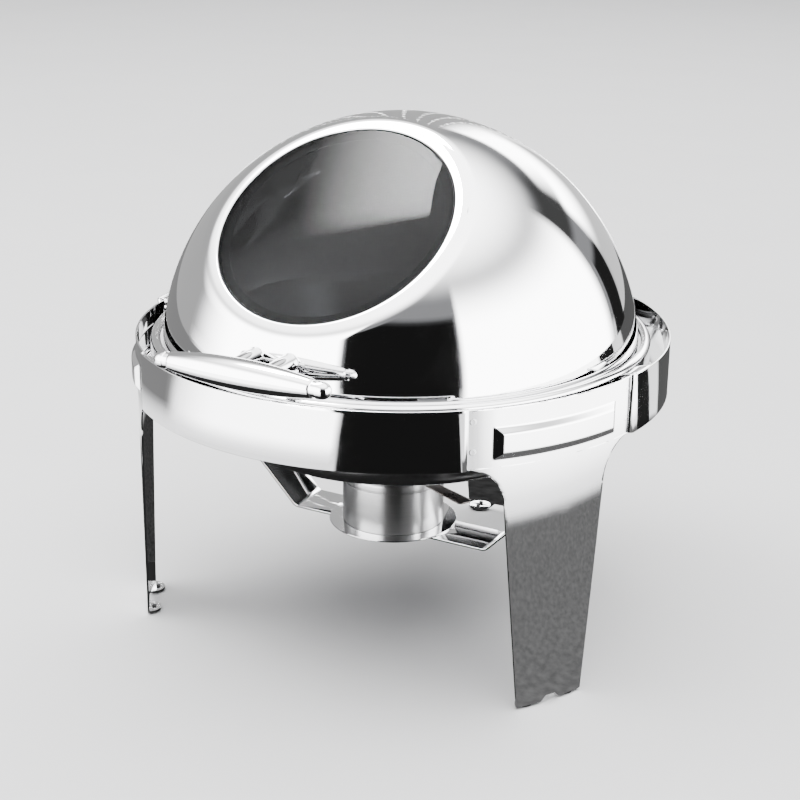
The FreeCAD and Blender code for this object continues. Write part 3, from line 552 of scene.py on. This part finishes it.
def leg(name, azimuth):
    """A leg pressed from curved sheet, with a raised panel, flared shoulders and foot tabs."""
    skins = []
    for radius in (LEG_RADIUS, LEG_RADIUS - LEG_SHEET):
        rows = []
        for z, half in leg_rows():
            row = []
            for share in leg_columns():
                x = share * half
                row.append(on_cylinder(x, z + arch_rise(x, z), radius + emboss_height(x, z)))
            rows.append(row)
        skins.append(rows)
    outer, inner = skins
    shape = Shape()
    shape.surface(outer)
    shape.surface([list(reversed(row)) for row in inner])
    shape.surface([outer[0], inner[0]])
    shape.surface([inner[-1], outer[-1]])
    shape.surface([[a[0], b[0]] for a, b in zip(outer, inner)])
    shape.surface([[b[-1], a[-1]] for a, b in zip(outer, inner)])
    for side in (-1, 1):
        foot_tab(shape, side * FOOT_TAB_OFFSET)
    for side in (-1, 1):
        for z in WELD_HEIGHTS:
            spot_weld(shape, side * WELD_OFFSET, z)
    shape.moved(turned_about_z(azimuth))
    make(f"leg_{name}_sheet", shape, STEEL_SHEET, "stand", [f"leg_{name}"], bevel=0.35)


def foot_tab(shape, x):
    """A half-round tab bent inwards from the leg's lower edge."""
    back, radius = LEG_RADIUS - LEG_SHEET, FOOT_TAB_RADIUS
    front = [on_cylinder(x + radius - step * radius / 5, 0, back) for step in range(11)]
    outline = [(p.x, p.y) for p in front]
    outline += [(p.x, p.y) for p in arc((x, -back + 0.5), radius, 180, 0, 20)[1:-1]]
    shape.slab(outline, LEG_BOTTOM, LEG_BOTTOM + LEG_SHEET)


def spot_weld(shape, x, z):
    """The shallow dimpled ring that a spot weld leaves."""
    rings, steps = [], 20
    turns = [2 * math.pi * step / steps for step in range(steps)]
    for radius, rise in ((2.6, 0.0), (2.2, 0.04), (1.8, 0.05), (1.4, 0.03), (0.8, 0.01), (0.0, 0.01)):
        places = [(x + radius * math.cos(t), z + radius * math.sin(t)) for t in turns]
        rings.append([on_cylinder(px, pz, LEG_RADIUS + rise) for px, pz in places])
    shape.surface(rings, wrap_columns=True)


# ---------------------------------------------------------------- ring, strap and burner


def ring():
    """The inner ring: a skirt whose upper edge is rolled inwards into a round bead."""
    sheet = 1.2
    middle = RING_OUTER - sheet / 2
    bead = RING_BEAD - sheet / 2
    line = [Vector((middle, RING_BOTTOM + sheet / 2)), Vector((middle, RING_BEAD_HEIGHT - 8))]
    line += arc((RING_OUTER - RING_BEAD, RING_BEAD_HEIGHT), bead, 0, 285, 40)
    shape = Shape().revolve(sheet_section(line, sheet), steps=240)
    make("inner_ring_rolled", shape, STEEL_SHEET, "stand", ["inner_ring"])


def strap():
    """The polished strip that carries the burner, with soft bends."""
    sheet, half_width, bend, side, top = 2.0, 21.5, 9.0, 195.0, 258.0
    level = PLATE_BASE - sheet / 2
    half = [(side, top), (side, 200.0, bend), (165.0, 145.0, bend), (97.0, level, bend)]
    line = rounded([(-x, *rest) for x, *rest in half] + list(reversed(half)))
    shape = Shape().ribbon(line, sheet, [-half_width, half_width], lambda x, z, y: Vector((x, y, z)))
    make("burner_strap_strip", shape, STEEL_SHEET, "stand", ["burner_strap"], bevel=0.4)


def at_burner(shape):
    """The shape moved from the origin to the burner's axis."""
    return shape.moved(Matrix.Translation((BURNER_X, 0, 0)))


def plate():
    """The burner's plate, a disc with a low lip inside its edge."""
    top = PLATE_BASE + 1.2
    lip = top + 2.4
    lip_outer, lip_inner, edge = 41.0, 39.8, 0.5
    outline = rounded([
        (0, PLATE_BASE), (PLATE_RADIUS, PLATE_BASE, edge), (PLATE_RADIUS, top, edge), (lip_outer, top, 0.6),
        (lip_outer, lip, edge), (lip_inner, lip, edge), (lip_inner, top), (0, top),
    ])
    shape = at_burner(Shape().revolve(outline, steps=128))
    make("burner_plate_disc", shape, STEEL_SHEET, "stand", ["burner_plate"])


def cup():
    """The fuel cup: a drawn wall over a raised floor."""
    sheet, floor_rise = 0.8, 3.2
    inner, floor = CUP_RADIUS - sheet, CUP_BOTTOM + floor_rise
    outline = rounded([
        (0, floor), (inner, floor, 0.8), (inner, CUP_BOTTOM), (CUP_RADIUS - 0.3, CUP_BOTTOM),
        (CUP_RADIUS, CUP_BOTTOM + 0.5), (CUP_RADIUS, CUP_TOP), (inner, CUP_TOP), (inner, floor + sheet, 0.8),
        (0, floor + sheet),
    ])
    shape = at_burner(Shape().revolve(outline, steps=128))
    make("fuel_cup_wall", shape, SATIN, "fuel_cup", ["fuel_cup"])


def cap():
    """The cup's cap: a groove, a rolled shoulder and a flat top with a round opening."""
    sheet, groove, opening = 0.8, 1.4, 26.0
    neck = CUP_RADIUS - groove - sheet / 2
    wall, top = CUP_RADIUS - sheet / 2, CAP_TOP - sheet / 2
    line = rounded([
        (neck, CUP_TOP), (neck, CUP_TOP + groove, 0.4), (wall, CUP_TOP + groove + sheet / 2, 0.6),
        (wall, top, 3.0), (opening + sheet / 2, top),
    ])
    shape = at_burner(Shape().revolve(sheet_section(line, sheet), steps=128))
    make("fuel_cup_cap", shape, SATIN, "fuel_cup", ["cup_cap"])


def damper():
    """The damper: a disc with a lug on one side and a handle that widens outwards on the other."""
    low, high = corner("damper", 0, "z"), corner("damper", 1, "z")
    disc, lug, pivot, reach, azimuth = 30.0, 7.0, 36.0, 104.0, -24
    root, tip, cut = 4.9, 7.0, 2.5
    meeting = math.degrees(math.asin(root / disc))
    lug_meeting = math.degrees(math.asin(lug / disc))
    outline = [Vector((reach - cut, tip)), *arc((0, 0), disc, meeting, 180 - lug_meeting, 32)]
    outline += arc((-pivot, 0), lug, 90, 270, 14)
    outline += arc((0, 0), disc, 180 + lug_meeting, 360 - meeting, 32)
    outline += [Vector((reach - cut, -tip)), Vector((reach, -tip + cut)), Vector((reach, tip - cut))]
    shape = Shape().slab(outline, low, high).moved(turned_about_z(azimuth))
    make("damper_plate", at_burner(shape), DARK, "damper", ["damper"], bevel=0.3)


# ---------------------------------------------------------------- pans

PAN_SHEET = 0.8
FOOD_PAN_BEAD = 2.0


def water_pan():
    """The deep water pan, with rounded corners and a narrow flange."""
    flange = corner("water_pan", 1, "z") - PAN_SHEET / 2
    floor = corner("water_pan", 0, "z") + PAN_SHEET / 2
    line = rounded([(0, floor), (149.8, floor, 14.0), (154.1, flange, 1.2), (161.6, flange)])
    shape = Shape().revolve(sheet_section(line, PAN_SHEET, (False, True)), steps=192)
    make("water_pan_bowl", shape, PAN_SHADED, "water_pan", ["water_pan"])


def food_pan():
    """The food pan, with a flange that is rolled into a bead."""
    floor = corner("food_pan", 0, "z") + PAN_SHEET / 2
    bead = FOOD_PAN_BEAD - PAN_SHEET / 2
    rim = corner("food_pan", 1, "x") - FOOD_PAN_BEAD
    bead_height = corner("food_pan", 1, "z") - FOOD_PAN_BEAD
    flange = bead_height - bead
    line = rounded([(0, floor), (143.8, floor, 10.0), (148.6, flange, 1.4), (rim - 0.5, flange)])
    line += arc((rim, bead_height), bead, -90, 190, 24)
    shape = Shape().revolve(sheet_section(line, PAN_SHEET, (False, True)), steps=192)
    make("food_pan_bowl", shape, PAN_INSIDE, "food_pan", ["food_pan"])


# ---------------------------------------------------------------- rolling cover

COVER_COLUMNS = 224
COVER_ROWS = 84
FACET_FRAME = Matrix.Translation((0, 0, PIVOT_HEIGHT)) @ Matrix.Rotation(FACET_TILT, 4, "X")


def facet_line(inset):
    """The cover's section from the window's hole to the ball, as (radius, distance from the centre)."""
    plane, wall = FACET_DISTANCE - inset, SEAL_OUTER + inset
    shelf = SHELF_DISTANCE - inset
    blend = FACET_BLEND - inset
    ball = COVER_RADIUS - inset
    centre = math.sqrt((ball - blend) ** 2 - (plane - blend) ** 2)
    line = rounded([
        (SEAL_INNER, shelf), (wall, shelf, 0.3 + inset), (wall, plane, 1.4 - inset), (centre, plane),
    ])
    start = math.degrees(math.atan2(plane - blend, centre))
    return line[:-1] + arc((centre, plane - blend), blend, 90, start, 14)


def cover_rows(inset):
    """Rings of one skin of the cover about the window's axis, the last one on the level lower edge."""
    line = facet_line(inset)
    ball = COVER_RADIUS - inset
    start = math.atan2(line[-1].x, line[-1].y)
    level = (COVER_BOTTOM - PIVOT_HEIGHT) / ball
    rings = [[] for _ in range(len(line) + COVER_ROWS)]
    for column in range(COVER_COLUMNS):
        turn = 2 * math.pi * column / COVER_COLUMNS
        across, along = math.cos(turn), math.sin(turn)
        upright, sloped = math.cos(FACET_TILT), along * math.sin(FACET_TILT)
        end = math.atan2(sloped, upright) + math.acos(level / math.hypot(upright, sloped))
        polar = [(p.x, p.y) for p in line]
        for row in range(1, COVER_ROWS + 1):
            angle = start + (end - start) * row / COVER_ROWS
            polar.append((ball * math.sin(angle), ball * math.cos(angle)))
        for ring_points, (radius, distance) in zip(rings, polar):
            ring_points.append(FACET_FRAME @ Vector((radius * across, radius * along, distance)))
    return rings


def cover():
    """The polished cover: a ball in thin sheet with a soft-edged flat facet and the window's recess."""
    rings = cover_rows(0.0) + list(reversed(cover_rows(COVER_SHEET)))
    shape = Shape().surface(rings, wrap_rows=True, wrap_columns=True)
    nodes = ["cover_shell"]
    make("cover_dome", shape, STEEL_COVER, "cover", nodes, bevel=0.25, bevel_angle=70)


def window():
    """The glass with ground edges, and the black border that it lies in."""
    seat = SHELF_DISTANCE + SEAL_THICKNESS
    glass = rounded([
        (0, seat), (GLASS_RADIUS - 0.15, seat, 0.7), (GLASS_RADIUS - 0.15, FACET_DISTANCE, 0.9),
        (0, FACET_DISTANCE),
    ])
    shape = Shape().revolve(glass, steps=192).moved(FACET_FRAME)
    make("window_glass_disc", shape, GLASS, "cover", ["window_glass"])
    border = rounded([
        (SEAL_INNER, SHELF_DISTANCE + 0.05), (SEAL_OUTER - 0.05, SHELF_DISTANCE + 0.05, 0.3),
        (SEAL_OUTER - 0.05, FACET_DISTANCE - 0.1, 0.35), (GLASS_RADIUS, FACET_DISTANCE - 0.1, 0.35),
        (GLASS_RADIUS, seat - 0.05), (SEAL_INNER, seat - 0.05, 0.3),
    ])
    shape = Shape().revolve(border, steps=192).moved(FACET_FRAME)
    make("window_border", shape, SEAL_BLACK, "cover", ["window_seal"])


# ---------------------------------------------------------------- handle


def spindle_radius(x):
    """The handle's radius at a distance from its middle: one shallow arc."""
    rise = HANDLE_MIDDLE - HANDLE_END
    half = HANDLE_HALF - 0.6 * HANDLE_END
    bow = (half * half + rise * rise) / (2 * rise)
    return HANDLE_MIDDLE - bow + math.sqrt(bow * bow - x * x)


def handle():
    """The spindle handle, with a fine groove near each rounded tip."""
    groove, wall, body_steps, tip_steps = GROOVE_PLACE, 0.4, 30, 16
    body = groove - GROOVE_HALF - wall
    half = [(x, spindle_radius(x)) for x in [body * step / body_steps for step in range(body_steps + 1)]]
    seat = spindle_radius(groove)
    floor_half, floor_radius = GROOVE_HALF - wall, seat - GROOVE_DEPTH
    half += [(groove - GROOVE_HALF, seat + 0.1), (groove - floor_half, floor_radius)]
    half += [(groove + floor_half, floor_radius), (groove + GROOVE_HALF, seat)]
    tip = HANDLE_HALF - groove - GROOVE_HALF
    for step in range(1, tip_steps + 1):
        share = math.sin(math.pi / 2 * step / tip_steps)
        half.append((groove + GROOVE_HALF + tip * share, seat * math.sqrt(max(1 - share**2.6, 0))))
    outline = [(r, -x) for x, r in reversed(half)] + [(r, x) for x, r in half[1:]]
    along_x = Matrix.Translation((0, -HANDLE_REACH, HANDLE_HEIGHT)) @ Matrix.Rotation(math.pi / 2, 4, "Y")
    shape = Shape().revolve(outline, steps=96, closed=False).moved(along_x)
    make("handle_spindle", shape, STEEL_HANDLE, "cover", ["handle"])
    for name, side in (("left", -1), ("right", 1)):
        post(name, side * POST_OFFSET)


def post(name, x):
    """A short post that narrows from the cover to the handle, with a soft foot."""
    rise = HANDLE_HEIGHT - PIVOT_HEIGHT
    sunk_foot, sunk_head, flange_height, steps = 0.6, 6, 1.4, 12
    foot = math.sqrt(COVER_RADIUS**2 - rise**2 - x * x) - sunk_foot
    length = HANDLE_REACH - sunk_head - foot
    outline = [(0, 0), (POST_FLANGE, 0), (POST_FLANGE - 0.1, 0.6)]
    for step in range(steps + 1):
        radius = POST_FOOT - (POST_FOOT - POST_HEAD) * smooth_step(step / steps)
        outline.append((radius, flange_height + (length - flange_height) * step / steps))
    outline.append((0, length))
    forward = Matrix.Translation((x, -foot, HANDLE_HEIGHT)) @ Matrix.Rotation(math.pi / 2, 4, "X")
    shape = Shape().revolve(outline, steps=48).moved(forward)
    make(f"handle_post_{name}_cone", shape, STEEL_PART, "cover", [f"handle_post_{name}"])


# ---------------------------------------------------------------- CAD pieces that stay

KEPT_FINISHES = {
    "foot_pads": RUBBER,
    "stop_pads": RUBBER,
    "cover_bush": NYLON,
    "inner_spacer": NYLON,
    "outer_washer": NYLON,
    "pan_carrier": STEEL_PART,
    "pivot_plate": STEEL_PART,
    "pivot_pin": STEEL_PART,
    "pivot_nut": STEEL_PART,
    "stop_shelves": STEEL_PART,
    "burner_rivets": STEEL_PART,
    "damper_rivet": STEEL_PART,
    "handle_screws": STEEL_PART,
}


def finish_kept_nodes():
    """Give each small CAD piece that stays in view its own material."""
    for name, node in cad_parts.items():
        for start, material in KEPT_FINISHES.items():
            if name.startswith(start):
                node.data.materials.clear()
                node.data.materials.append(material)


# ---------------------------------------------------------------- studio


def emission(name, level, mottle):
    """A light or dark studio surface that fades out with the mesh's fade value; mottle makes it uneven."""
    card_nodes = Nodes(name)
    add = card_nodes.add
    card_nodes.tree.nodes.clear()
    strength = level
    if mottle:
        place = add("ShaderNodeTexCoord").outputs["Object"]
        grain = add("ShaderNodeTexNoise", {"Vector": place, "Scale": 110.0, "Detail": 6.0}).outputs["Fac"]
        contrast = {"From Min": 0.3, "From Max": 0.7}
        levels = {"To Min": level * (1 - mottle), "To Max": level * (1 + mottle)}
        strength = add("ShaderNodeMapRange", {"Value": grain, **contrast, **levels}).outputs["Result"]
    glow = add("ShaderNodeEmission", {"Strength": strength}).outputs[0]
    clear = add("ShaderNodeBsdfTransparent").outputs[0]
    fade = add("ShaderNodeAttribute", attribute_name="fade").outputs["Fac"]
    mix = add("ShaderNodeMixShader", {"Fac": fade, 1: clear, 2: glow}).outputs[0]
    add("ShaderNodeOutputMaterial", {"Surface": mix})
    return card_nodes.material


def edge_fade(across, up, soft):
    """How solid a card is at a place; soft is the share that fades at its left, right, low and high edge."""
    fade = 1.0
    for place, share in zip((across, 1 - across, up, 1 - up), soft):
        if share:
            fade *= smooth_step(place / share)
    return fade


def card(name, place, level, soft, steps, mottle=0.0):
    """A studio card that reflections see and the camera doesn't; place gives a point for two shares."""
    points, fades, faces = [], [], []
    width = steps + 1
    for row in range(width):
        for column in range(width):
            points.append(place(column / steps, row / steps))
            fades.append(edge_fade(column / steps, row / steps, soft))
    for row in range(steps):
        for first in range(row * width, row * width + steps):
            faces.append((first, first + 1, first + width + 1, first + width))
    mesh = bpy.data.meshes.new(name)
    mesh.from_pydata(points, [], faces)
    mesh.attributes.new("fade", "FLOAT", "POINT").data.foreach_set("value", fades)
    mesh.materials.append(emission(name, level, mottle))
    board = bpy.data.objects.new(name, mesh)
    bpy.context.scene.collection.objects.link(board)
    board.visible_camera = False
    board.visible_shadow = False
    board.visible_diffuse = False


def between(ends, share):
    """The value at a share of the way from one end to the other."""
    return ends[0] + (ends[1] - ends[0]) * share


def around(azimuth, reach, height):
    """A point at an azimuth from the stand's front, at a distance from the object's axis."""
    azimuth = math.radians(STAND_TURN + azimuth)
    return (reach * math.sin(azimuth), -reach * math.cos(azimuth), height)


def panel(name, azimuths, elevations, distance, level, soft=(0, 0, 0, 0)):
    """A curved card round the object between two azimuths and two elevations."""

    def place(across, up):
        elevation = math.radians(between(elevations, up))
        height = distance * math.sin(elevation) + PIVOT_HEIGHT * MM
        return around(between(azimuths, across), distance * math.cos(elevation), height)

    card(name, place, level, soft, steps=32)


def floor_card(name, azimuths, reaches, height, level, soft=(0, 0, 0, 0), mottle=0.0):
    """A card lying just over the floor, between two azimuths and two distances from the object's axis."""

    def place(across, up):
        return around(between(azimuths, across), between(reaches, up), height)

    card(name, place, level, soft, steps=40, mottle=mottle)


def floor():
    """A plain pale floor with a very slight mottle."""
    finish = Finish("pale_floor", Specular_IOR_Level=0.0)
    mottle = finish.noise(5.0, detail=4.0)
    finish.link(finish.mixed(mottle, (0.66, 0.66, 0.665), (0.70, 0.70, 0.705)), "Base Color")
    finish.link(finish.spread(mottle, 0.5, 0.6), "Roughness")
    mesh = bpy.data.meshes.new("floor")
    reach = 9.0
    corners = [(x * reach, y * reach, 0) for x, y in ((-1, -1), (1, -1), (1, 1), (-1, 1))]
    mesh.from_pydata(corners, [], [(0, 1, 2, 3)])
    mesh.materials.append(finish.material)
    ground = bpy.data.objects.new("floor", mesh)
    bpy.context.scene.collection.objects.link(ground)


def area_light(name, azimuth, elevation, distance, size, power):
    """A soft square lamp aimed at the middle of the object."""
    light = bpy.data.lights.new(name, "AREA")
    light.energy = power
    light.size = size
    lamp = bpy.data.objects.new(name, light)
    aim = Vector((0, 0, PIVOT_HEIGHT * MM))
    turn, above = math.radians(azimuth), math.radians(elevation)
    flat = distance * math.cos(above)
    lamp.location = aim + Vector((flat * math.sin(turn), -flat * math.cos(turn), distance * math.sin(above)))
    lamp.rotation_euler = (aim - lamp.location).to_track_quat("-Z", "Y").to_euler()
    lamp.visible_glossy = False
    bpy.context.scene.collection.objects.link(lamp)


def studio():
    """Dim surroundings, two lamps, and the cards that the steel reflects."""
    world = bpy.data.worlds.new("studio")
    world.use_nodes = True
    background = world.node_tree.nodes["Background"]
    background.inputs["Color"].default_value = (0.96, 0.97, 1.0, 1)
    background.inputs["Strength"].default_value = 0.4
    bpy.context.scene.world = world
    area_light("overhead", 0, 90, 4.5, 9.0, 1300)
    area_light("key", -70, 48, 2.6, 1.6, 50)
    panel("left_softbox", (-88, 1), (-14, 50), 2.6, 14.0, soft=(0.4, 0.01, 0.05, 0.3))
    panel("left_wall", (-170, -80), (-14, 60), 2.8, 0.6, soft=(0.1, 0.1, 0.05, 0.3))
    panel("top_softbox", (-180, 180), (36, 89), 3.2, 8.0, soft=(0, 0, 0.55, 0))
    panel("window_softbox", (-150, -78.5), (56, 69), 2.4, 170.0, soft=(0, 0.05, 1.0, 0))
    panel("right_softbox", (54, 145), (-12, 46), 2.6, 14.0, soft=(0.03, 0.08, 0.05, 0.4))
    panel("rear_white", (192, 224), (-16, 34), 2.8, 14.0, soft=(0.25, 0.35, 0.02, 0.15))
    panel("back_high", (158, 226), (8, 34), 2.9, 14.0, soft=(0.1, 0.1, 0.5, 0.15))
    panel("back_wall", (158, 240), (-14, 24), 3.0, 1.1, soft=(0.05, 0.1, 0.05, 0.1))
    panel("dark_room", (1, 54), (-12, 31), 2.5, 0.012, soft=(0.01, 0.01, 0.02, 0.08))
    panel("dark_gap", (147, 160), (-20, 16), 2.5, 0.02, soft=(0.05, 0.1, 0.1, 0.1))
    panel("dim_ceiling", (118, 182), (21, 44), 2.8, 0.08, soft=(0.4, 0.35, 0.2, 0.4))
    floor_card("dark_floor", (5, 50), (0.3, 3.0), 0.004, 0.012, soft=(0.01, 0.01, 0, 0))
    floor_card("front_floor", (-75, 5), (0.55, 3.0), 0.003, 9.0, soft=(0.4, 0.01, 0.1, 0))
    floor_card("right_floor", (53, 129), (0.58, 3.0), 0.003, 9.0, soft=(0.15, 0.02, 0.1, 0))
    floor_card("left_floor", (-140, -65), (0.55, 3.0), 0.002, 0.3, soft=(0, 0.1, 0.1, 0))
    floor_card("back_floor", (129, 141), (0.5, 3.0), 0.0025, 0.02)
    floor_card("far_floor", (150, 186), (0.5, 3.0), 0.0025, 0.12, soft=(0.05, 0.1, 0, 0))
    floor_card("rear_floor", (188, 219), (0.7, 8.0), 0.003, 14.0, soft=(0.2, 0.1, 0.1, 0))
    floor_card("near_table", (-80, 50), (0.0, 0.50), 0.0015, 0.03, soft=(0, 0, 0, 0.15))
    floor_card("left_table", (-180, -80), (0.0, 0.56), 0.0015, 0.05, soft=(0, 0, 0, 0.15), mottle=0.4)
    floor_card("right_table", (50, 180), (0.18, 0.62), 0.0015, 0.2, soft=(0, 0, 0, 0.1), mottle=0.22)
    floor_card("under_table", (-180, 180), (0.0, 0.25), 0.0012, 0.02)


def camera():
    """The camera looks down at the front from its right."""
    azimuth, pitch, roll = math.radians(27 + STAND_TURN), math.radians(19.26), math.radians(0.53)
    distance, height = 1.389, 0.6746
    lens = bpy.data.cameras.new("camera")
    lens.lens = 75.7
    lens.sensor_width = 36.0
    view = bpy.data.objects.new("camera", lens)
    turn = Matrix.Rotation(azimuth, 4, "Z") @ Matrix.Rotation(math.pi / 2 - pitch, 4, "X")
    place = Matrix.Translation((distance * math.sin(azimuth), -distance * math.cos(azimuth), height))
    view.matrix_world = place @ turn @ Matrix.Rotation(roll, 4, "Z")
    bpy.context.scene.collection.objects.link(view)
    bpy.context.scene.camera = view


# ---------------------------------------------------------------- build

for band_name, band_azimuth in BAND_AZIMUTHS.items():
    band(band_name, band_azimuth)
for leg_name, leg_azimuth in LEG_AZIMUTHS.items():
    leg(leg_name, leg_azimuth)
ring()
strap()
plate()
cup()
cap()
damper()
water_pan()
food_pan()
cover()
window()
handle()
finish_kept_nodes()
floor()
studio()
camera()
